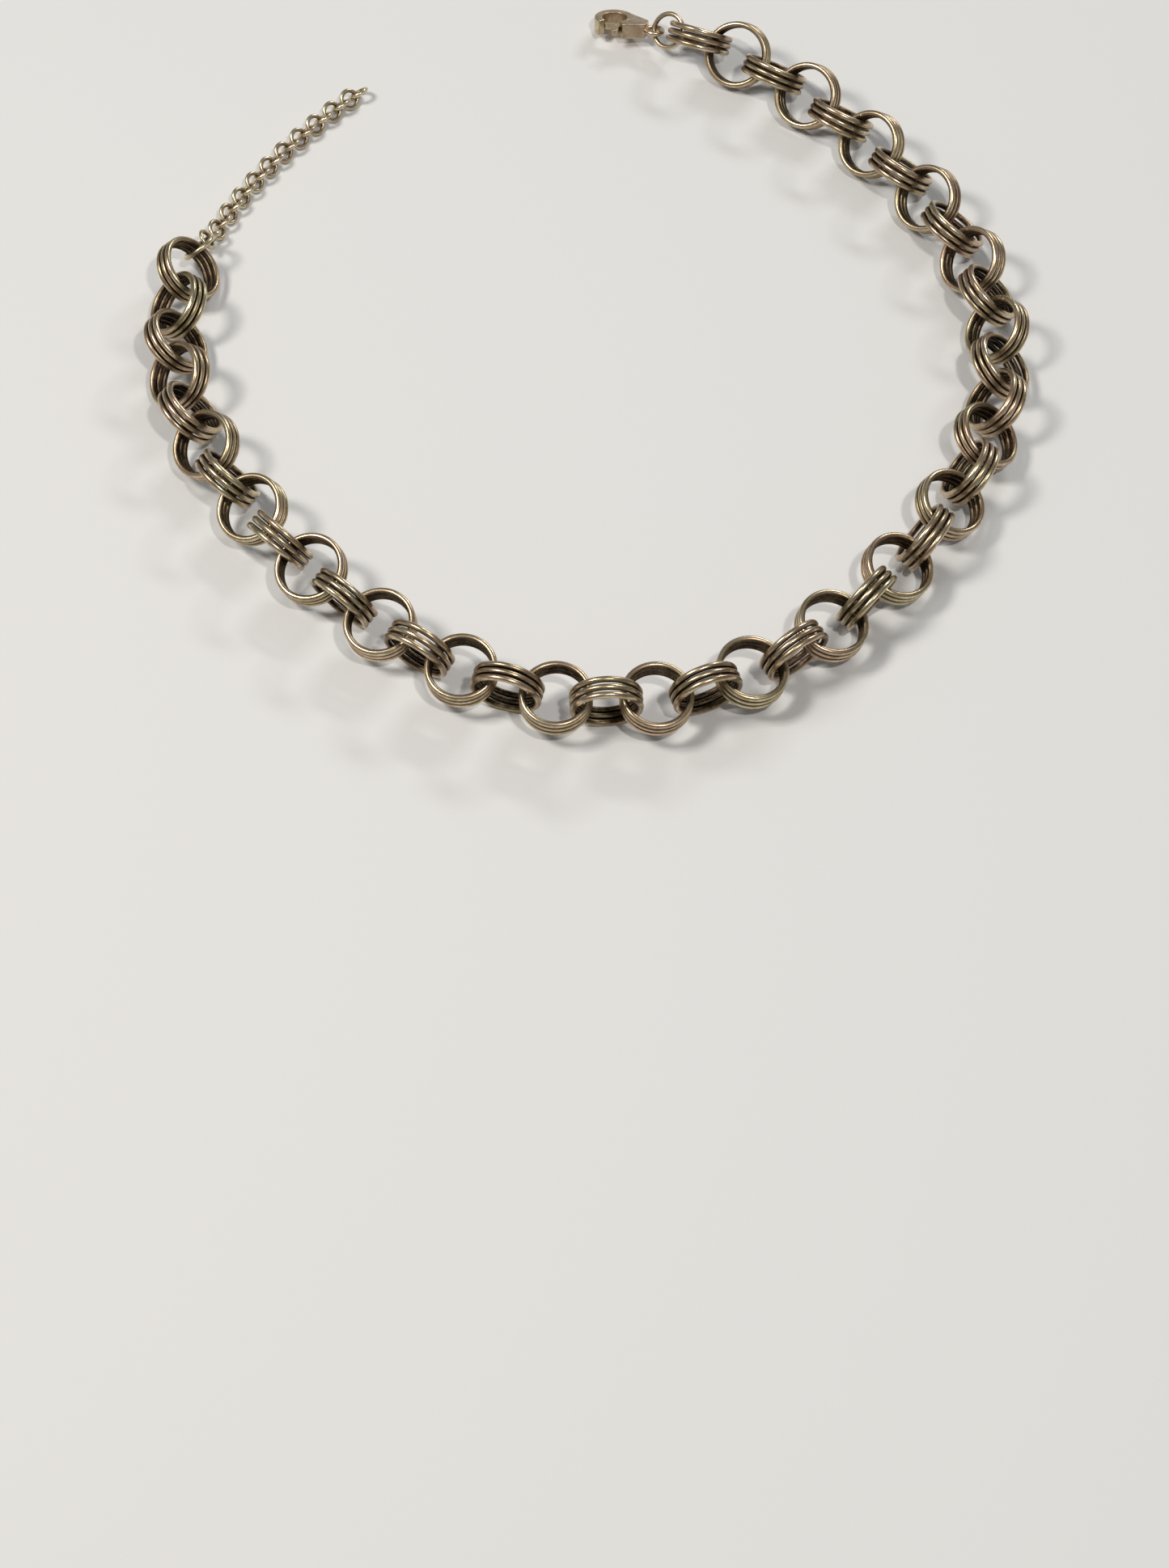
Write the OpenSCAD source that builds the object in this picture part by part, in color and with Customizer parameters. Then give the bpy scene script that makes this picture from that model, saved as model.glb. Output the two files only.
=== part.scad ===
// Chain necklace of triple-ring links, unfastened and laid flat in a loop.
// Millimetres, +Z up, +Y from the front of the loop to the nape.
// The origin is on the resting surface, under the middle of the loop.
// Every thick link is three round-wire rings side by side, and each link passes through its two neighbours.

/* [Thick chain] */
// Outside diameter of one ring of a thick link
ring_od = 12; // [11:0.1:14.5]
// Diameter of the round wire of a thick link
ring_wire = 1.1; // [0.8:0.05:1.35]
// Space between two neighbouring rings of one link, where they lie closest
ring_gap = 0.05; // [0.03:0.01:0.15]
// How far two neighbouring links can still be pulled apart
link_play = 1.4; // [1.2:0.05:2.5]
// Thick links to the right of the front link
links_right = 25; // [19:2:27]
// Thick links to the left of the front link
links_left = 16; // [10:2:18]

/* [Lie of the links] */
// Angle between the plane of a thick link and the surface it lies on
link_roll = 45; // [42:1:47]
// Turn of each link out of the line of the chain, seen from above, where the chain isn't twisted
link_lean = 8; // [6:1:10]
// Uneven share of that turn, different from link to link
lean_scatter = 2; // [0:0.5:3]
// How far the rings of one link open like a fan, on average
ring_fan = 0.8; // [0:0.1:1.2]

/* [Jump rings] */
// Outside diameter of the two jump rings
jump_od = 7; // [6.8:0.1:8]
// Wire of the two jump rings
jump_wire = 0.9; // [0.7:0.05:1]
// Play between a jump ring and the last thick link
jump_play = 0.9; // [0.7:0.05:1.1]
// Play between a jump ring and the small piece in it
hook_play = 0.24; // [0.18:0.02:0.4]
// How far a jump ring's middle lies below the middle of the last thick link
jump_drop = 0.7; // [0.5:0.05:0.9]
// Slope of a jump ring, down and away from the last thick link
jump_slope = 22; // [18:1:26]

/* [Extender chain] */
// Outside diameter of a small extender link
extender_od = 4; // [3.8:0.1:5]
// Wire of a small extender link
extender_wire = 0.8; // [0.6:0.05:0.85]
// How far two neighbouring extender links can still be pulled apart
extender_play = 0.22; // [0.2:0.02:0.6]
// Pairs of extender links, one pair to a node
extender_pairs = 11; // [6:1:12]
// How far the first small piece's middle lies below the jump ring's
hook_drop = 1.4; // [1.2:0.05:1.5]
// Share of its height that each extender link loses on the way down to the surface
settling = 0.67; // [0.6:0.01:0.75]

/* [Clasp] */
// Width of the hook of the clasp
clasp_w = 7.4; // [7:0.1:9]
// Width of the space inside the hook
mouth_w = 4.6; // [4.4:0.1:5.2]
// Distance from the eye of the clasp to the middle of its hook
clasp_reach = 7.8; // [7.4:0.1:9]
// Thickness of the clasp body
clasp_t = 2.8; // [2.4:0.1:3.4]
// Outside diameter of the eye
eye_od = 4; // [3.8:0.1:4.4]
// Wire of the eye
eye_wire = 1; // [0.9:0.05:1.1]
// How far the middle of the clasp's eye lies below its jump ring's
clasp_drop = 1; // [0.8:0.05:1.2]
// Tilt of the clasp on to the rim of its hook
clasp_roll = 22; // [15:1:28]
// Play between the clasp's eye and its jump ring
eye_play = 0.65; // [0.5:0.05:0.8]
// Thickness of the lever
lever_t = 1.2; // [1:0.1:1.6]
// Width of the lever's arm
lever_w = 0.8; // [0.6:0.05:1]
// Diameter of the rivet pin
pin_d = 0.8; // [0.6:0.1:0.9]
// Running clearance round the lever
lever_gap = 0.1; // [0.06:0.02:0.2]
// Angle that the lever swings into the mouth
lever_swing = 20; // [12:1:22]
// Wire of the lever's spring
spring_wire = 0.22; // [0.18:0.02:0.26]

/* [Lie of the loop] */
// Open space between the two ends of the unfastened necklace
end_gap = 46; // [40:1:60]
// Extra bend at the front and nape, in degrees of heading
oval = 4; // [0:1:8]
// Twist of the chain about its own line at the front, as it lies on the slope of a chest
front_twist = 36; // [0:1:40]
// Number of links to each side over which the twist fades out
twist_reach = 13; // [8:1:16]
// Extra bend at the front, sides and nape, with straighter runs between them
square = 6; // [0:1:7]
// Shift of the bends to the wearer's right, in degrees of heading
sway = -2.3; // [-4:0.1:4]

/* [Hidden] */
$fn = 48;

// Sizes that follow from one ring's own
ring_r = (ring_od - ring_wire) / 2;
ring_bore_r = ring_od / 2 - ring_wire;
ring_step = ring_wire + ring_gap;
// The level side of a step of given length that also goes down or aside
function level(step, down) = sqrt(pow(step, 2) - pow(down, 2));
// Distance of two links pulled tight, where the outer rings of one bear on the outer rings of the other
taut_pitch = level(ring_r, ring_step) + level(ring_bore_r - ring_wire / 2, ring_step);
link_pitch = taut_pitch - link_play;
jump_r = (jump_od - jump_wire) / 2;
jump_bore_r = jump_od / 2 - jump_wire;
extender_r = (extender_od - extender_wire) / 2;
extender_pitch = 2 * extender_r - extender_wire - extender_play;
eye_r = (eye_od - eye_wire) / 2;

// Turning of a point about each axis
function about_x(p, a) = [p[0], p[1] * cos(a) - p[2] * sin(a), p[1] * sin(a) + p[2] * cos(a)];
function about_y(p, a) = [p[0] * cos(a) + p[2] * sin(a), p[1], p[2] * cos(a) - p[0] * sin(a)];
function about_z(p, a) = [p[0] * cos(a) - p[1] * sin(a), p[0] * sin(a) + p[1] * cos(a), p[2]];

// A piece's lie is [roll, slope, lean, twist]. A thick link's goes on with its fan and the fan's direction.
// Odd links roll one way and even links the other. The golden angle makes neighbours differ.
golden = 137.5;
scatter_start = 40;
fan_scatter = 0.6;
function scatter(i, order) = sin(order * (golden * i + scatter_start));
// The twist fades out away from the front link, and a twisted link leans less.
twist_fade = min(twist_reach, links_left);
lean_lost = 0.5;
function twisted(i) = cos(90 * min(1, abs(i) / twist_fade));
function link_lie(i) = [
    abs(i) % 2 == 0 ? -link_roll : link_roll,
    0,
    link_lean * (1 - lean_lost * twisted(i)) + lean_scatter * scatter(i, 1),
    -front_twist * twisted(i),
    ring_fan * (1 + fan_scatter * scatter(i, 2)),
    180 * scatter(i, 3)
];

// Places a point of a piece, given in the plane of its middle ring, in the frame of the chain
function placed(p, lie) = about_x(about_z(about_y(about_x(p, lie[0]), lie[1]), lie[2]), lie[3]);
// Spacing of the rings' middles: at the closed side of the fan the rings are ring_gap apart
function spacing(lie) = ring_step + ring_r * sin(lie[4]);
function ring_middle(k, lie) = placed([0, 0, k * spacing(lie)], lie);
function ring_normal(k, lie) = placed(about_z(about_x([0, 0, 1], k * lie[4]), lie[5]), lie);

// Height at which a link's lowest wire touches the surface
function depth(k, lie) =
    ring_r * sqrt(1 - pow(ring_normal(k, lie)[2], 2)) + ring_wire / 2 - ring_middle(k, lie)[2];
function resting(i) = max([for (k = [-1:1]) depth(k, link_lie(i))]);
// A flat link is held up by the upright ones on both sides of it
function link_z(i) = max(resting(i - 1), resting(i), resting(i + 1));

extender_ring_lie = [link_roll, -jump_slope, 0, 0];
clasp_ring_lie = [-link_roll, jump_slope, 0, 0];

// Height of a single ring's middle when it touches the surface
function ring_z(r, wire, roll) = r * abs(sin(roll)) + wire / 2;

// Heights of the small pieces, on the way down from the last thick links to the surface
extender_roll = 45;
extender_ring_z = link_z(-links_left) - jump_drop;
clasp_ring_z = link_z(links_right) - jump_drop;
resting_z = ring_z(extender_r, extender_wire, extender_roll);
first_fall = extender_ring_z - hook_drop - resting_z;
function extender_z(n) = n == 0 ? extender_ring_z : resting_z + first_fall * pow(1 - settling, n - 1);
// The clasp hangs by its eye from its jump ring, and slopes down until its hook's rim rests on the surface.
// Its tilt raises the hook, and changes a little with the slope, so the slope is found in steps.
eye_z = clasp_ring_z - clasp_drop;
function upright(slope) = cos(clasp_roll) * cos(slope);
function hook_z(slope) = clasp_w / 2 * sqrt(1 - pow(upright(slope), 2)) + clasp_t / 2 * upright(slope);
function settled(slope, steps) =
    steps == 0 ? slope : settled(asin((eye_z - hook_z(slope)) / clasp_reach), steps - 1);
settling_steps = 8;
clasp_slope = settled(0, settling_steps);
clasp_lie = [clasp_roll, clasp_slope, 0, 0];

jump_step = ring_r + level(jump_bore_r - ring_wire / 2, ring_step) - jump_play;
function hook_step(r, wire, play) = jump_r + r - jump_wire / 2 - wire / 2 - play;

// The pieces in order outwards from the front link, as the level distance from each to the next
extender_count = 2 * extender_pairs;
right_steps = concat(
    [for (i = [1:links_right]) link_pitch],
    [jump_step, level(hook_step(eye_r, eye_wire, eye_play), clasp_ring_z - eye_z)]
);
left_steps = concat(
    [for (i = [1:links_left]) link_pitch],
    [jump_step, level(hook_step(extender_r, extender_wire, hook_play), hook_drop)],
    [for (n = [2:extender_count]) level(extender_pitch, extender_z(n - 1) - extender_z(n))]
);
function total(list, count) = count == 0 ? 0 : list[count - 1] + total(list, count - 1);
clasp_l = eye_r + clasp_reach + clasp_w / 2;
loop_length = total(right_steps, len(right_steps)) + total(left_steps, len(left_steps)) + clasp_l + end_gap;

// Heading of the chain at a distance along it, anticlockwise from the front link, which heads along +X
function turn(distance) = 360 * distance / loop_length;
function heading(distance) =
    turn(distance) + oval * sin(2 * turn(distance)) + square * sin(4 * turn(distance))
    + sway * (cos(2 * turn(distance)) - 1);

// Walks outwards from the front link, and gives each piece as [x, y, distance along the chain]
function stride(distance, step) =
    let(h = heading(distance + step / 2)) step * [cos(h), sin(h), 1];
function nth(steps, i) = i < len(steps) ? steps[i] : 0;
function walk(steps, side) = [
    for (i = 0, at = [0, 0, 0]; i <= len(steps); at = at + stride(at[2], side * nth(steps, i)), i = i + 1) at
];
right_path = walk(right_steps, 1);
left_path = walk(left_steps, -1);
function link_at(i) = i >= 0 ? right_path[i] : left_path[-i];
extender_ring_at = left_path[links_left + 1];
clasp_ring_at = right_path[links_right + 1];
clasp_at = right_path[links_right + 2];
function extender_at(n) = left_path[links_left + 1 + n];

// The middle of the necklace's box in X and Y, between the outermost edges of the thick links and the hook
link_range = [-links_left:links_right];
function edge(i, k, axis, side) =
    let(lie = link_lie(i), h = heading(link_at(i)[2]))
    let(middle = about_z(ring_middle(k, lie), h), normal = about_z(ring_normal(k, lie), h))
    link_at(i)[axis] + middle[axis] + side * (ring_r * sqrt(1 - pow(normal[axis], 2)) + ring_wire / 2);
function bound(axis, side) = side * max([for (i = link_range, k = [-1:1]) side * edge(i, k, axis, side)]);
clasp_axis = about_z(placed([0, 0, 1], clasp_lie), heading(clasp_at[2]));
hook_middle = clasp_at + about_z(placed([clasp_reach, 0, 0], clasp_lie), heading(clasp_at[2]));
hook_edge = hook_middle[1] + clasp_w / 2 * sqrt(1 - pow(clasp_axis[1], 2)) + clasp_t / 2 * abs(clasp_axis[1]);
loop_middle = [bound(0, 1) + bound(0, -1), max(bound(1, 1), hook_edge) + bound(1, -1)] / 2;

// Node names: link_01 is the left end of the thick chain, next to the extender
function two_digits(n) = n < 10 ? str("0", n) : str(n);
function link_name(i) = str("link_", two_digits(i + links_left + 1));
function pair_name(p) = str("extender_pair_", two_digits(p));

module ring(r, wire) {
    rotate_extrude() translate([r, 0]) circle(d = wire);
}

// Moves a piece from its own frame to its place on the loop
module on_loop(at, z) {
    translate([at[0] - loop_middle[0], at[1] - loop_middle[1], z])
        rotate([0, 0, heading(at[2])])
            children();
}

module lying(lie) {
    rotate([lie[3], 0, 0])
        rotate([0, 0, lie[2]])
            rotate([0, lie[1], 0])
                rotate([lie[0], 0, 0])
                    children();
}

// One thick link: three rings side by side, slightly fanned
module thick_link(i) {
    lie = link_lie(i);
    color("darkkhaki")
        on_loop(link_at(i), link_z(i))
            lying(lie)
                for (k = [-1:1])
                    translate([0, 0, k * spacing(lie)])
                        rotate([0, 0, lie[5]])
                            rotate([k * lie[4], 0, 0])
                                ring(ring_r, ring_wire);
}

module extender_jump_ring() {
    color("darkkhaki")
        on_loop(extender_ring_at, extender_ring_z)
            lying(extender_ring_lie)
                ring(jump_r, jump_wire);
}

module clasp_jump_ring() {
    color("darkkhaki")
        on_loop(clasp_ring_at, clasp_ring_z)
            lying(clasp_ring_lie)
                ring(jump_r, jump_wire);
}

// Extender links roll one way and the other in turn, and the first few slope down to the surface
function extender_slope(n) = asin((extender_z(n - 1) - extender_z(n + 1)) / (2 * extender_pitch));
module extender_link(n) {
    on_loop(extender_at(n), extender_z(n))
        lying([n % 2 == 0 ? extender_roll : -extender_roll, -extender_slope(n), 0, 0])
            ring(extender_r, extender_wire);
}

module extender_pair(p) {
    color("darkkhaki") {
        extender_link(2 * p - 1);
        extender_link(2 * p);
    }
}

// The clasp in its own frame: the eye's middle at the origin, the nose along +X, the lever on the -Y side.
// On the loop it is turned over, so that the lever faces inwards.
mouth_r = mouth_w / 2;
neck_w = 2.2;
shoulder_w = 5.8;
pivot = [clasp_reach - mouth_r - 0.95, -0.6];
boss_wall = 0.5;
boss_r = pin_d / 2 + boss_wall;
pin_play = 0.05;
room_r = boss_r + lever_gap;
room_t = lever_t + 2 * lever_gap;
// The lever closes the mouth behind the nose, whose tip is where the throat starts
throat = [-132, -58];
nose_overlap = 8;
tip_way = throat[1] + nose_overlap;
tip_at = [clasp_reach, 0] + (mouth_r - lever_w / 2 - lever_gap) * [cos(tip_way), sin(tip_way)];
arm_l = norm(tip_at - pivot);
arm_turn = atan2(tip_at[1] - pivot[1], tip_at[0] - pivot[0]);
tab_at = 1.9;
tab_l = 2.9;
tab_w = 0.9;
tab_end_w = 1.3;
heel_l = 1.5;
heel_w = 0.6;
heel_y = 0.15;
spring_gap = 0.04;
spring_opening = 60;

module clasp_place() {
    on_loop(clasp_at, eye_z)
        lying(clasp_lie)
            mirror([0, 1, 0])
                children();
}

// A pie slice round a middle, from one direction to another
module slice(middle, from, to, reach) {
    middle_way = (from + to) / 2;
    translate(middle)
        polygon([
            [0, 0],
            reach * [cos(from), sin(from)],
            reach * [cos(middle_way), sin(middle_way)],
            reach * [cos(to), sin(to)]
        ]);
}

module hook_outline() {
    difference() {
        union() {
            translate([clasp_reach, 0]) circle(d = clasp_w);
            polygon([
                [eye_r, -neck_w / 2],
                [clasp_reach - mouth_r, -shoulder_w / 2],
                [clasp_reach - mouth_r, shoulder_w / 2],
                [eye_r, neck_w / 2]
            ]);
        }
        translate([clasp_reach, 0]) circle(r = mouth_r);
        slice([clasp_reach, 0], throat[0], throat[1], clasp_w);
    }
}

// The lever: a boss round the pin, an arm to the nose, a thumb tab and a heel that the spring pushes
module lever_outline() {
    translate(pivot) {
        circle(r = boss_r);
        translate([-heel_l, heel_y - heel_w / 2]) square([heel_l, heel_w]);
        rotate(arm_turn) {
            translate([0, -lever_w / 2]) square([arm_l, lever_w]);
            translate([arm_l, 0]) circle(d = lever_w);
        }
        translate([tab_at - tab_w / 2, -tab_l]) square([tab_w, tab_l]);
        translate([tab_at, -tab_l]) circle(d = tab_end_w);
    }
}

// The space inside the hook that the lever turns in: round its boss, along its arm, and below its heel
module lever_room() {
    arm_side = lever_w / 2 + lever_gap;
    heel_room = room_r + heel_y + heel_w / 2 + lever_gap;
    translate(pivot) {
        circle(r = room_r);
        translate([-heel_l - lever_gap, -room_r]) square([heel_l + lever_gap, heel_room]);
    }
    for (turned = [0, lever_swing])
        translate(pivot)
            rotate(arm_turn + turned)
                translate([0, -arm_side]) square([arm_l - lever_w, 2 * arm_side]);
    slice(pivot, arm_turn, arm_turn + lever_swing, arm_l - lever_w);
    translate(pivot + [tab_at - tab_w / 2 - lever_gap, -tab_l]) square([tab_l, tab_l]);
}

module clasp_body() {
    color("darkkhaki")
        clasp_place()
            difference() {
                union() {
                    translate([0, 0, -clasp_t / 2]) linear_extrude(clasp_t) hook_outline();
                    ring(eye_r, eye_wire);
                }
                translate([0, 0, -room_t / 2]) linear_extrude(room_t) lever_room();
                translate([pivot[0], pivot[1], -clasp_t]) cylinder(d = pin_d, h = 2 * clasp_t);
            }
}

module lever_shape() {
    difference() {
        translate([0, 0, -lever_t / 2]) linear_extrude(lever_t) lever_outline();
        translate([pivot[0], pivot[1], -lever_t]) cylinder(r = pin_d / 2 + pin_play, h = 2 * lever_t);
    }
}

module clasp_lever() {
    color("darkkhaki")
        clasp_place()
            lever_shape();
}

module clasp_pin() {
    color("darkkhaki")
        clasp_place()
            translate([pivot[0], pivot[1], -clasp_t / 2])
                cylinder(d = pin_d, h = clasp_t);
}

// A C of springy wire between the lever's heel and the wall below it
module spring_shape() {
    spring_room = room_r + heel_y - heel_w / 2;
    spring_outer_r = spring_room / 2 - spring_gap;
    wall_x = pivot[0] - heel_l - lever_gap;
    translate([wall_x + spring_gap + spring_outer_r, pivot[1] - room_r + spring_room / 2, 0])
        rotate([0, 0, spring_opening])
            rotate_extrude(angle = 360 - spring_opening)
                translate([spring_outer_r - spring_wire / 2, 0]) circle(d = spring_wire);
}

module clasp_spring() {
    color("silver")
        clasp_place()
            spring_shape();
}

for (i = link_range)
    thick_link(i);
extender_jump_ring();
clasp_jump_ring();
for (p = [1:extender_pairs])
    extender_pair(p);
clasp_body();
clasp_lever();
clasp_pin();
clasp_spring();
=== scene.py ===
"""A heavy antiqued cable chain necklace, laid open on a pale floor."""
import math
import bpy
import bmesh
import numpy as np
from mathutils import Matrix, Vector


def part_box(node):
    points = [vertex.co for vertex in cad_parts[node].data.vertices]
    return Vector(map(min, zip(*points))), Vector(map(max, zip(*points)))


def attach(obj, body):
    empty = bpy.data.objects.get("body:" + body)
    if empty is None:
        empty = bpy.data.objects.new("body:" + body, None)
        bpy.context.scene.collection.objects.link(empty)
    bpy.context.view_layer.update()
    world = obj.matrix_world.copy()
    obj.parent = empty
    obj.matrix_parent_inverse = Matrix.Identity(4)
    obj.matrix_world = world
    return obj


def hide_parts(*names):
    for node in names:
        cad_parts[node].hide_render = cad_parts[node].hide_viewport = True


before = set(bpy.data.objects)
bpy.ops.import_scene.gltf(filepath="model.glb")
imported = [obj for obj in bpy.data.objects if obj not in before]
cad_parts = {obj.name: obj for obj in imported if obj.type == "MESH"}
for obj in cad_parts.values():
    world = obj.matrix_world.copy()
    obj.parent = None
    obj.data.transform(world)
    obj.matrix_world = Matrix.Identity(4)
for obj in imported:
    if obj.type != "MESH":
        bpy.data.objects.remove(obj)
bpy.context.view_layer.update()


# ---- Camera ----
# The necklace as a person standing before it sees it: from the front and 50 degrees above, with room
# left below the chain. The camera looks at a point inside the loop, behind the front link.
BEHIND_FRONT = 0.070
DISTANCE = 0.620
ELEVATION = math.radians(49.9)
FOCAL_LENGTH = 2.292               # as a share of the frame's height
TARGET_RIGHT = 0.0134              # how far the target falls from the middle, as shares of that height
TARGET_UP = 0.2662
SENSOR = 36.0

front_low, front_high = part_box("link_17")
target = (front_low + front_high) / 2 + Vector((0.0, BEHIND_FRONT, 0.0))
camera_data = bpy.data.cameras.new("camera")
camera_data.sensor_fit = "VERTICAL"
camera_data.sensor_height = SENSOR
camera_data.lens = FOCAL_LENGTH * SENSOR
camera_data.clip_start = 0.01
camera = bpy.data.objects.new("camera", camera_data)
bpy.context.scene.collection.objects.link(camera)
camera.location = target + DISTANCE * Vector((0.0, -math.cos(ELEVATION), math.sin(ELEVATION)))
tilt = math.pi / 2 - ELEVATION - math.atan(TARGET_UP / FOCAL_LENGTH)
pan = math.atan(TARGET_RIGHT / FOCAL_LENGTH) / math.sin(tilt)
camera.rotation_euler = (tilt, 0.0, pan)
bpy.context.scene.camera = camera


# ---- Thick links ----
# Each link is three closed rings of round brass wire, side by side, slightly fanned and not quite
# even. They are plated, dipped in a dark antiquing bath and tumbled, so the outer faces are rubbed
# bright and some brown-black patina stays where the wires lie against each other. The darkening
# there is mostly painted shade: a darker colour standing in for the shadow between the wires.
LINK_WORN = (0.96, 0.85, 0.68)
LINK_BODY = (0.46, 0.35, 0.235)
# the dark tone: patina, and painted shade in the gaps between the wires
LINK_DARK = (0.030, 0.018, 0.010)
LINK_COVER = 0.27                  # how much of the dark bath is left on open faces
RING_SEGMENTS = 112
WIRE_SEGMENTS = 20
UNEVENNESS = 0.00003
SAME_POINT = 1e-7                  # vertices closer than this are one
SHADE_AND_PATINA_REACH = 0.55                     # how far from another wire the painted shade and patina reach, in wire widths
SHADE_AND_PATINA_FALLOFF = 1.5                # how quickly the painted shade and patina thin away from there
INSIDE_SHADE_AND_PATINA = 0.5                 # how dark the painted shade and patina make the inside of a ring, against the gap between wires
NEIGHBOUR_SHADE_AND_PATINA_SHRINK = 1.6                # links rub each other, so the painted shade and patina reach less far between them
DENTS_PER_METRE = 420.0            # how fine each unevenness of the metal is
PATCHES_PER_METRE = 330.0
SPECKS_PER_METRE = 1900.0
DRIFTS_PER_METRE = 95.0
PATCH_SHARE = 0.62                 # how strongly the patches and the specks break up the dark bath
SPECK_SHARE = 0.28
WORN_AT = 0.14                     # how much bath and painted shade there is where each tone is pure
BODY_AT = 0.46
DARK_AT = 0.92
DARK_ROUGHNESS = 0.50
OLIVE_TINT = (0.94, 1.0, 0.84)
PINK_TINT = (1.0, 0.90, 0.86)
TINT_SHARE = 0.75
PATCH_RELIEF = 0.00006
SPECK_RELIEF = 0.00004
LINK_SEED_STEP = 1.7               # keeps the dents of one link unlike those of the next


def new_node(tree, kind, **settings):
    """Adds a node. Settings named after sockets set their values, and the others are properties."""
    node = tree.nodes.new(kind)
    for name, value in settings.items():
        if hasattr(node, name):
            setattr(node, name, value)
        else:
            node.inputs[name.replace("_", " ")].default_value = value
    return node


def rings_tree():
    """Puts a ring of round wire on each point, square to the point's axis."""
    tree = bpy.data.node_groups.new("wire_rings", "GeometryNodeTree")
    face = tree.interface
    face.new_socket("Geometry", in_out="INPUT", socket_type="NodeSocketGeometry")
    for name, kind in (("Ring Radius", "Float"), ("Wire Radius", "Float"), ("Ring Segments", "Int"),
                       ("Wire Segments", "Int"), ("Unevenness", "Float"), ("Seed", "Float"),
                       ("Finish", "Material")):
        face.new_socket(name, in_out="INPUT", socket_type="NodeSocket" + kind)
    face.new_socket("Geometry", in_out="OUTPUT", socket_type="NodeSocketGeometry")
    join = tree.links.new
    given = tree.nodes.new("NodeGroupInput").outputs
    result = tree.nodes.new("NodeGroupOutput").inputs

    ring = new_node(tree, "GeometryNodeCurvePrimitiveCircle")
    join(given["Ring Segments"], ring.inputs["Resolution"])
    join(given["Ring Radius"], ring.inputs["Radius"])
    wire = new_node(tree, "GeometryNodeCurvePrimitiveCircle")
    join(given["Wire Segments"], wire.inputs["Resolution"])
    join(given["Wire Radius"], wire.inputs["Radius"])
    tube = new_node(tree, "GeometryNodeCurveToMesh")
    join(ring.outputs["Curve"], tube.inputs["Curve"])
    join(wire.outputs["Curve"], tube.inputs["Profile Curve"])

    axis = new_node(tree, "GeometryNodeInputNamedAttribute", data_type="FLOAT_VECTOR", Name="axis")
    aim = new_node(tree, "FunctionNodeAlignRotationToVector", axis="Z")
    join(axis.outputs["Attribute"], aim.inputs["Vector"])
    place = new_node(tree, "GeometryNodeInstanceOnPoints")
    join(given["Geometry"], place.inputs["Points"])
    join(tube.outputs["Mesh"], place.inputs["Instance"])
    join(aim.outputs["Rotation"], place.inputs["Rotation"])
    real = new_node(tree, "GeometryNodeRealizeInstances")
    join(place.outputs["Instances"], real.inputs["Geometry"])

    # Wire that has been drawn, cut and tumbled is nowhere quite full size
    dents = new_node(tree, "ShaderNodeTexNoise", noise_dimensions="4D", Scale=DENTS_PER_METRE,
                     Detail=2.0)
    join(given["Seed"], dents.inputs["W"])
    depth = new_node(tree, "ShaderNodeMath", operation="MULTIPLY")
    join(dents.outputs["Fac"], depth.inputs[0])
    join(given["Unevenness"], depth.inputs[1])
    inward = new_node(tree, "ShaderNodeVectorMath", operation="SCALE")
    normal = new_node(tree, "GeometryNodeInputNormal")
    minus = new_node(tree, "ShaderNodeMath", operation="MULTIPLY")
    minus.inputs[1].default_value = -1.0
    join(depth.outputs[0], minus.inputs[0])
    join(normal.outputs["Normal"], inward.inputs[0])
    join(minus.outputs[0], inward.inputs["Scale"])
    dented = new_node(tree, "GeometryNodeSetPosition")
    join(real.outputs["Geometry"], dented.inputs["Geometry"])
    join(inward.outputs["Vector"], dented.inputs["Offset"])

    smooth = new_node(tree, "GeometryNodeSetShadeSmooth")
    finish = new_node(tree, "GeometryNodeSetMaterial")
    join(dented.outputs["Geometry"], smooth.inputs["Geometry"])
    join(smooth.outputs["Geometry"], finish.inputs["Geometry"])
    join(given["Finish"], finish.inputs["Material"])
    join(finish.outputs["Geometry"], result["Geometry"])
    return tree


def loose_rings(node):
    """Each ring of a CAD node, in order along its axis, as its middle, axis, radius and wire radius."""
    merged = bmesh.new()
    merged.from_mesh(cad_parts[node].data)
    bmesh.ops.remove_doubles(merged, verts=merged.verts, dist=SAME_POINT)
    left = set(merged.verts)
    rings = []
    while left:
        island = {left.pop()}
        edge = list(island)
        while edge:
            at = edge.pop()
            fresh = [side.other_vert(at) for side in at.link_edges if side.other_vert(at) in left]
            left.difference_update(fresh)
            island.update(fresh)
            edge.extend(fresh)
        points = np.array([v.co for v in island])
        middle = points.mean(0)
        axis = np.linalg.svd(points - middle, full_matrices=False)[2][2]
        if rings and axis @ rings[0][1] < 0:
            axis = -axis
        across = np.linalg.norm(np.cross(points - middle, axis), axis=1)
        rings.append((middle, axis, (across.max() + across.min()) / 2, (across.max() - across.min()) / 2))
    merged.free()
    forward = rings[0][1]
    return sorted(rings, key=lambda ring: ring[0] @ forward)


def distance_to(ring, points):
    """Distance of each point from the surface of a ring."""
    middle, axis, radius, wire = ring
    out = points - middle
    along = out @ axis
    across = np.linalg.norm(out - np.outer(along, axis), axis=1)
    return np.hypot(along, across - radius) - wire


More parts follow.
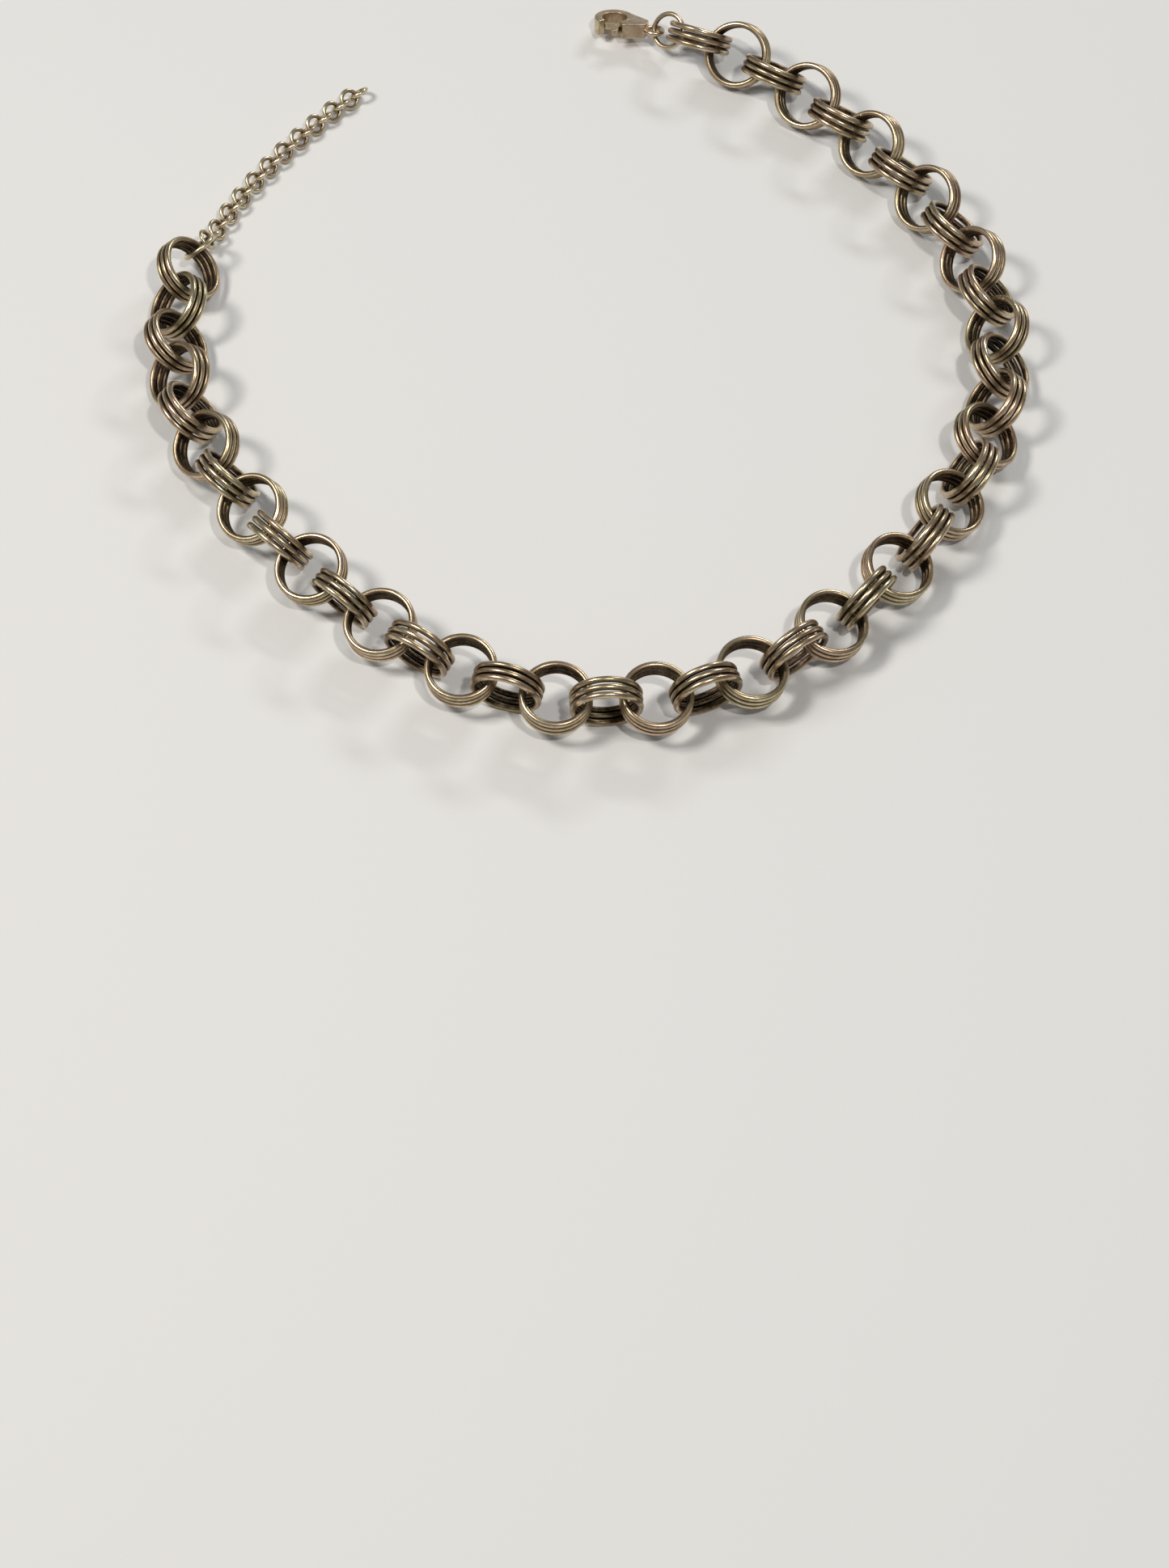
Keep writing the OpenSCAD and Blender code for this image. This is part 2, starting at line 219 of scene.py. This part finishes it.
def antiqued(name, worn, body, dark, cover, rough_worn):
    """Plated metal from an antiquing bath: dark with patina and painted shade in the gaps, and rubbed
    bright elsewhere.
    """
    material = bpy.data.materials.new(name)
    material.use_nodes = True
    tree = material.node_tree
    join = tree.links.new
    shader = tree.nodes["Principled BSDF"]
    shader.inputs["Metallic"].default_value = 1.0
    place = new_node(tree, "ShaderNodeTexCoord").outputs["Object"]

    # How dark each point is: the bath left at random, broken up at two sizes, plus the painted shade and
    # patina between the wires
    shade_and_patina_mask = new_node(tree, "ShaderNodeAttribute", attribute_name="shade_and_patina").outputs["Fac"]
    patches = new_node(tree, "ShaderNodeTexNoise", Scale=PATCHES_PER_METRE, Detail=5.0, Roughness=0.62)
    specks = new_node(tree, "ShaderNodeTexNoise", Scale=SPECKS_PER_METRE, Detail=4.0, Roughness=0.7)
    join(place, patches.inputs["Vector"])
    join(place, specks.inputs["Vector"])
    patch_share = new_node(tree, "ShaderNodeMath", operation="MULTIPLY_ADD")
    patch_share.inputs[1].default_value = PATCH_SHARE
    patch_share.inputs[2].default_value = cover - PATCH_SHARE / 2
    join(patches.outputs["Fac"], patch_share.inputs[0])
    speck_share = new_node(tree, "ShaderNodeMath", operation="MULTIPLY_ADD")
    speck_share.inputs[1].default_value = SPECK_SHARE
    join(specks.outputs["Fac"], speck_share.inputs[0])
    join(patch_share.outputs[0], speck_share.inputs[2])
    left = new_node(tree, "ShaderNodeMath", operation="ADD", use_clamp=True)
    join(speck_share.outputs[0], left.inputs[0])
    join(shade_and_patina_mask, left.inputs[1])

    tone = new_node(tree, "ShaderNodeValToRGB")
    ramp = tone.color_ramp
    ramp.elements[0].position = WORN_AT
    ramp.elements[0].color = (*worn, 1.0)
    ramp.elements[1].position = DARK_AT
    ramp.elements[1].color = (*dark, 1.0)
    ramp.elements.new(BODY_AT).color = (*body, 1.0)
    join(left.outputs[0], tone.inputs["Fac"])

    # The plating drifts between olive and a pinker grey along the chain
    drift = new_node(tree, "ShaderNodeTexNoise", Scale=DRIFTS_PER_METRE, Detail=2.0)
    join(place, drift.inputs["Vector"])
    tint = new_node(tree, "ShaderNodeValToRGB")
    tint.color_ramp.elements[0].position = 0.35
    tint.color_ramp.elements[0].color = (*OLIVE_TINT, 1.0)
    tint.color_ramp.elements[1].position = 0.65
    tint.color_ramp.elements[1].color = (*PINK_TINT, 1.0)
    join(drift.outputs["Fac"], tint.inputs["Fac"])
    mixed = new_node(tree, "ShaderNodeMix", data_type="RGBA", blend_type="MULTIPLY")
    mixed.inputs["Factor"].default_value = TINT_SHARE
    join(tone.outputs["Color"], mixed.inputs["A"])
    join(tint.outputs["Color"], mixed.inputs["B"])
    join(mixed.outputs["Result"], shader.inputs["Base Color"])

    rough = new_node(tree, "ShaderNodeMapRange")
    rough.inputs["From Min"].default_value = 0.1
    rough.inputs["From Max"].default_value = 0.9
    rough.inputs["To Min"].default_value = rough_worn
    rough.inputs["To Max"].default_value = DARK_ROUGHNESS
    join(left.outputs[0], rough.inputs["Value"])
    join(rough.outputs["Result"], shader.inputs["Roughness"])

    # Tumbling marks and the grain of the deposit
    grain = new_node(tree, "ShaderNodeBump", Strength=0.35, Distance=SPECK_RELIEF)
    join(specks.outputs["Fac"], grain.inputs["Height"])
    waves = new_node(tree, "ShaderNodeBump", Strength=0.5, Distance=PATCH_RELIEF)
    join(patches.outputs["Fac"], waves.inputs["Height"])
    join(waves.outputs["Normal"], grain.inputs["Normal"])
    join(grain.outputs["Normal"], shader.inputs["Normal"])
    return material


def wire_rings(piece_name, node, neighbours, finish, seed):
    """Makes the rings of a CAD node as one piece on its body, and marks the painted shade and patina of
    each point.
    """
    rings = ring_list[node]
    radius = max(ring[2] for ring in rings)
    wire = max(ring[3] for ring in rings)
    points = bpy.data.meshes.new(piece_name + "_points")
    points.from_pydata([ring[0] for ring in rings], [], [])
    axis = points.attributes.new("axis", "FLOAT_VECTOR", "POINT")
    axis.data.foreach_set("vector", np.concatenate([ring[1] for ring in rings]).astype(np.float32))
    carrier = bpy.data.objects.new(piece_name + "_carrier", points)
    bpy.context.scene.collection.objects.link(carrier)
    modifier = carrier.modifiers.new("rings", "NODES")
    modifier.node_group = wire_tree
    values = {"Ring Radius": radius, "Wire Radius": wire, "Ring Segments": RING_SEGMENTS,
              "Wire Segments": WIRE_SEGMENTS, "Unevenness": UNEVENNESS, "Seed": seed, "Finish": finish}
    for item in wire_tree.interface.items_tree:
        if item.in_out == "INPUT" and item.name in values:
            modifier[item.identifier] = values[item.name]
    ready = carrier.evaluated_get(bpy.context.evaluated_depsgraph_get())
    mesh = bpy.data.meshes.new_from_object(ready)
    bpy.data.objects.remove(carrier)
    bpy.data.meshes.remove(points)
    mesh.name = piece_name
    piece = bpy.data.objects.new(piece_name, mesh)
    bpy.context.scene.collection.objects.link(piece)

    # Painted shade with some patina: darker close to another ring of the piece or of a neighbour, or on the
    # inside of its own ring
    place = np.array([v.co for v in mesh.vertices])
    close = np.stack([distance_to(ring, place) for ring in rings])
    own = close.argmin(0)
    close[own, np.arange(len(place))] = np.inf
    for neighbour in neighbours:
        for ring in ring_list[neighbour]:
            close = np.vstack([close, NEIGHBOUR_SHADE_AND_PATINA_SHRINK * distance_to(ring, place)])
    closeness = np.clip(1.0 - close.min(0) / (2 * SHADE_AND_PATINA_REACH * wire), 0.0, 1.0)
    out = place - np.array([ring[0] for ring in rings])[own]
    axes = np.array([ring[1] for ring in rings])[own]
    across = np.linalg.norm(np.cross(out, axes), axis=1)
    inside = np.clip((radius - across) / wire, 0.0, 1.0)
    shade_and_patina = np.maximum(closeness ** SHADE_AND_PATINA_FALLOFF, INSIDE_SHADE_AND_PATINA * inside ** SHADE_AND_PATINA_FALLOFF)
    mark = mesh.attributes.new("shade_and_patina", "FLOAT", "POINT")
    mark.data.foreach_set("value", shade_and_patina.astype(np.float32))
    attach(piece, node)
    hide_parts(node)


link_names = sorted(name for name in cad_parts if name.startswith("link_"))
pair_names = sorted(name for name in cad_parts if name.startswith("extender_pair_"))
chain = pair_names[::-1] + ["extender_jump_ring"] + link_names + ["clasp_jump_ring"]
ring_list = {name: loose_rings(name) for name in chain}
wire_tree = rings_tree()


def next_to(name):
    """The pieces that a piece of the chain passes through."""
    at = chain.index(name)
    return chain[max(at - 1, 0):at] + chain[at + 1:at + 2]


link_finish = antiqued("antiqued_links", LINK_WORN, LINK_BODY, LINK_DARK, LINK_COVER,
                       rough_worn=0.17)
for number, name in enumerate(link_names):
    wire_rings("rings_of_" + name, name, next_to(name), link_finish,
               number * LINK_SEED_STEP)


# ---- Jump rings ----
# One ring of thinner wire at each end of the thick chain, plated and darkened with it. They are
# opened sideways to fit them, and then closed.
JUMP_WORN = (0.96, 0.86, 0.70)
JUMP_BODY = (0.52, 0.41, 0.28)
# the dark tone: patina, and painted shade where the ring meets its neighbours and on its inside
JUMP_DARK = (0.04, 0.025, 0.015)
JUMP_COVER = 0.24
JUMP_SEED = 90.0

jump_finish = antiqued("antiqued_jump_rings", JUMP_WORN, JUMP_BODY, JUMP_DARK, JUMP_COVER,
                       rough_worn=0.20)
for number, name in enumerate(("extender_jump_ring", "clasp_jump_ring")):
    wire_rings("wire_of_" + name, name, next_to(name), jump_finish,
               JUMP_SEED + number)


# ---- Extender ----
# A plain cable chain of small single rings, so that the necklace fastens at different lengths. It is
# thinner plate on the same brass, and rubs brighter than the heavy links.
EXTENDER_WORN = (0.96, 0.86, 0.69)
EXTENDER_BODY = (0.54, 0.43, 0.30)
# the dark tone: patina, and painted shade where the rings meet and on their insides
EXTENDER_DARK = (0.05, 0.032, 0.018)
EXTENDER_COVER = 0.21
EXTENDER_SEED = 120.0

extender_finish = antiqued("antiqued_extender", EXTENDER_WORN, EXTENDER_BODY, EXTENDER_DARK, EXTENDER_COVER,
                           rough_worn=0.22)
for number, name in enumerate(pair_names):
    wire_rings("rings_of_" + name, name, next_to(name), extender_finish,
               EXTENDER_SEED + number)


# ---- Clasp ----
# A lobster clasp: a cast brass hook with its eye, a cast lever, a rivet that the lever turns on and a
# small spring inside. The casting is tumbled, so that all its edges are rounded.
CASTING_VOXEL = 0.00007
CASTING_ROUNDING = 14              # passes of smoothing
CLASP_WORN = (0.96, 0.86, 0.70)
CLASP_BODY = (0.52, 0.41, 0.28)
CLASP_DARK = (0.04, 0.025, 0.015)
CLASP_COVER = 0.27
STEEL_DARK = (0.30, 0.29, 0.27)
STEEL_BRIGHT = (0.52, 0.51, 0.48)
STEEL_ROUGHNESS = 0.3
STEEL_GRAINS_PER_METRE = 2600.0


def cast_piece(node, body, finish):
    """Rounds a copy of a CAD node as tumbling does, and lets it stand for the node."""
    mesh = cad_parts[node].data.copy()
    mesh.name = "cast_" + node
    merged = bmesh.new()
    merged.from_mesh(mesh)
    bmesh.ops.remove_doubles(merged, verts=merged.verts, dist=SAME_POINT)
    merged.to_mesh(mesh)
    merged.free()
    piece = bpy.data.objects.new("cast_" + node, mesh)
    bpy.context.scene.collection.objects.link(piece)
    remesh = piece.modifiers.new("skin", "REMESH")
    remesh.mode = "VOXEL"
    remesh.voxel_size = CASTING_VOXEL
    remesh.use_smooth_shade = True
    rounded = piece.modifiers.new("tumbled", "SMOOTH")
    rounded.factor = 0.5
    rounded.iterations = CASTING_ROUNDING
    ready = piece.evaluated_get(bpy.context.evaluated_depsgraph_get())
    result = bpy.data.meshes.new_from_object(ready)
    piece.modifiers.clear()
    piece.data = result
    bpy.data.meshes.remove(mesh)
    result.name = "cast_" + node
    result.materials.clear()
    result.materials.append(finish)
    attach(piece, body)
    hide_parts(node)


clasp_finish = antiqued("antiqued_clasp", CLASP_WORN, CLASP_BODY, CLASP_DARK, CLASP_COVER,
                        rough_worn=0.22)
cast_piece("clasp_body", "clasp", clasp_finish)
cast_piece("clasp_lever", "clasp_lever", clasp_finish)

steel = bpy.data.materials.new("drawn_steel")
steel.use_nodes = True
steel_shader = steel.node_tree.nodes["Principled BSDF"]
steel_shader.inputs["Metallic"].default_value = 1.0
steel_place = new_node(steel.node_tree, "ShaderNodeTexCoord").outputs["Object"]
steel_noise = new_node(steel.node_tree, "ShaderNodeTexNoise", Scale=STEEL_GRAINS_PER_METRE,
                       Detail=3.0)
steel.node_tree.links.new(steel_place, steel_noise.inputs["Vector"])
steel_tone = new_node(steel.node_tree, "ShaderNodeValToRGB")
steel_tone.color_ramp.elements[0].color = (*STEEL_DARK, 1.0)
steel_tone.color_ramp.elements[1].color = (*STEEL_BRIGHT, 1.0)
steel.node_tree.links.new(steel_noise.outputs["Fac"], steel_tone.inputs["Fac"])
steel.node_tree.links.new(steel_tone.outputs["Color"], steel_shader.inputs["Base Color"])
steel_shader.inputs["Roughness"].default_value = STEEL_ROUGHNESS
for name in ("clasp_pin", "clasp_spring"):
    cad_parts[name].data.materials.clear()
    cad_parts[name].data.materials.append(steel)


# ---- Floor and light ----
# A plain pale floor, a soft light on the left, a long one behind on the right, a small one for the
# sparkle of the wires, and a dim room, so that the metal keeps its darks.
HALF = 3.0                         # half the floor's width
FLOOR_COLOUR = (0.74, 0.73, 0.71)
FLOOR_ROUGHNESS = 0.9
ROOM_COLOUR = (0.55, 0.56, 0.58)
ROOM_STRENGTH = 0.34

floor_mesh = bpy.data.meshes.new("floor")
corners = [(-HALF, -HALF, 0), (HALF, -HALF, 0), (HALF, HALF, 0), (-HALF, HALF, 0)]
floor_mesh.from_pydata(corners, [], [(0, 1, 2, 3)])
floor = bpy.data.objects.new("floor", floor_mesh)
bpy.context.scene.collection.objects.link(floor)
paper = bpy.data.materials.new("floor_paper")
paper.use_nodes = True
paper_shader = paper.node_tree.nodes["Principled BSDF"]
paper_shader.inputs["Base Color"].default_value = (*FLOOR_COLOUR, 1.0)
paper_shader.inputs["Roughness"].default_value = FLOOR_ROUGHNESS
floor_mesh.materials.append(paper)


def soft_light(name, place, size, power, colour):
    """Hangs a rectangular lamp that faces the middle of the floor. Its power is in watts."""
    lamp = bpy.data.lights.new(name, "AREA")
    lamp.shape = "RECTANGLE"
    lamp.size, lamp.size_y = size
    lamp.energy = power
    lamp.color = colour
    holder = bpy.data.objects.new(name, lamp)
    bpy.context.scene.collection.objects.link(holder)
    holder.location = place
    holder.rotation_euler = Vector(place).to_track_quat("Z", "Y").to_euler()


soft_light("key_light", place=(-0.55, -0.10, 0.85), size=(0.24, 0.24), power=5.6,
           colour=(1.0, 0.97, 0.93))
soft_light("back_light", place=(0.45, 0.75, 0.60), size=(0.40, 0.10), power=3.0,
           colour=(0.95, 0.98, 1.0))
soft_light("sparkle_light", place=(0.25, -0.45, 0.95), size=(0.06, 0.06), power=3.2,
           colour=(1.0, 0.98, 0.95))

world = bpy.data.worlds.new("room")
world.use_nodes = True
background = world.node_tree.nodes["Background"]
background.inputs["Color"].default_value = (*ROOM_COLOUR, 1.0)
background.inputs["Strength"].default_value = ROOM_STRENGTH
bpy.context.scene.world = world
bpy.context.scene.view_settings.view_transform = "Standard"
